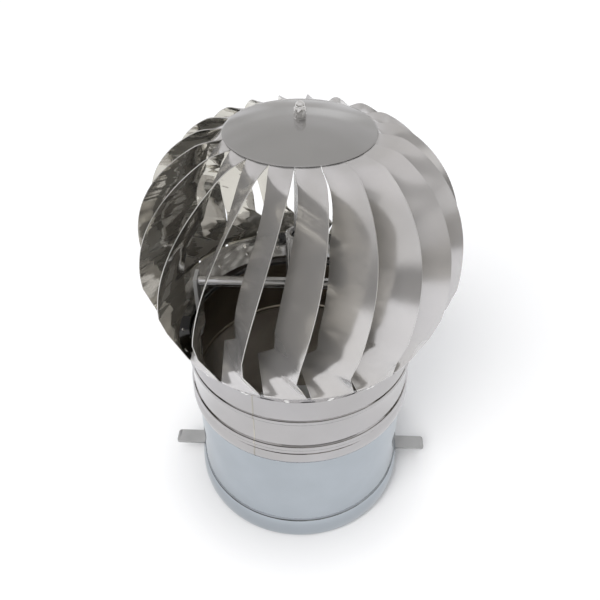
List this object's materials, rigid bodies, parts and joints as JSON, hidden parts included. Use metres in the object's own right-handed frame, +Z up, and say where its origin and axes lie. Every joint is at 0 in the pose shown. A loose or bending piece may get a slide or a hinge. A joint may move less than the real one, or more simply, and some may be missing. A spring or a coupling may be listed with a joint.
{
  "type": "roof turbine ventilator",
  "caption": "Wind-driven roof turbine ventilator: domed head of swept blades with a beaded skirt, turning on a fixed round neck with side tabs.",
  "frame": {"origin": "centre of the neck tube's lower rim, where the ventilator stands", "axes": "+Z up along the spin axis; the two support tabs lie along X"},
  "size_m": [0.332, 0.332, 0.5023],
  "materials": {
    "polished_sheet": "mirror-bright rolled stainless sheet",
    "mill_sheet": "satin rolled stainless sheet",
    "flat_bar": "dull rolled bar",
    "bar_tube": "polished tube",
    "turned_steel": "turned",
    "fasteners": "bright stainless",
    "bearing_steel": "ground",
    "cage_plastic": "moulded"
  },
  "bodies": {
    "stator": {"neck_tube": "mill_sheet", "support_tab_right": "flat_bar", "support_tab_left": "flat_bar", "bridge_leg_right": "flat_bar", "bridge_leg_left": "flat_bar", "bridge_bar": "bar_tube", "bearing_housing": "turned_steel", "retaining_clip": "bearing_steel", "outer_spacer": "turned_steel", "lower_outer_race": "bearing_steel", "upper_outer_race": "bearing_steel"},
    "rotor": {"cap": "polished_sheet", "collar": "polished_sheet", "flared_ring": "polished_sheet", "foot_rivets": "fasteners", "shaft": "turned_steel", "shaft_nut": "fasteners", "inner_spacer": "turned_steel", "cap_spacer": "turned_steel", "cap_nut": "fasteners", "lower_washer": "fasteners", "upper_washer": "fasteners", "top_nut": "fasteners", "acorn_nut": "fasteners", "lower_inner_race": "bearing_steel", "upper_inner_race": "bearing_steel", "blade_01": "polished_sheet", "blade_02": "polished_sheet", "blade_03": "polished_sheet", "blade_04": "polished_sheet", "blade_05": "polished_sheet", "blade_06": "polished_sheet", "blade_07": "polished_sheet", "blade_08": "polished_sheet", "blade_09": "polished_sheet", "blade_10": "polished_sheet", "blade_11": "polished_sheet", "blade_12": "polished_sheet", "blade_13": "polished_sheet", "blade_14": "polished_sheet", "blade_15": "polished_sheet", "blade_16": "polished_sheet", "blade_17": "polished_sheet", "blade_18": "polished_sheet", "blade_19": "polished_sheet", "blade_20": "polished_sheet"},
    "lower_ball_set": {"lower_ball_cage": "cage_plastic", "lower_balls": "bearing_steel"},
    "upper_ball_set": {"upper_ball_cage": "cage_plastic", "upper_balls": "bearing_steel"}
  },
  "joints": [
    {"name": "head_spin", "type": "hinge", "parent": "stator", "child": "rotor", "pos_m": [0, 0, 0.34], "axis": [0, 0, 1], "continuous": true},
    {"name": "lower_ball_spin", "type": "hinge", "parent": "stator", "child": "lower_ball_set", "pos_m": [0, 0, 0.317], "axis": [0, 0, 1], "continuous": true},
    {"name": "upper_ball_spin", "type": "hinge", "parent": "stator", "child": "upper_ball_set", "pos_m": [0, 0, 0.355], "axis": [0, 0, 1], "continuous": true}
  ],
  "couplings": [
    {"joint": "lower_ball_spin", "follows": "head_spin", "ratio": 0.373},
    {"joint": "upper_ball_spin", "follows": "head_spin", "ratio": 0.373}
  ]
}
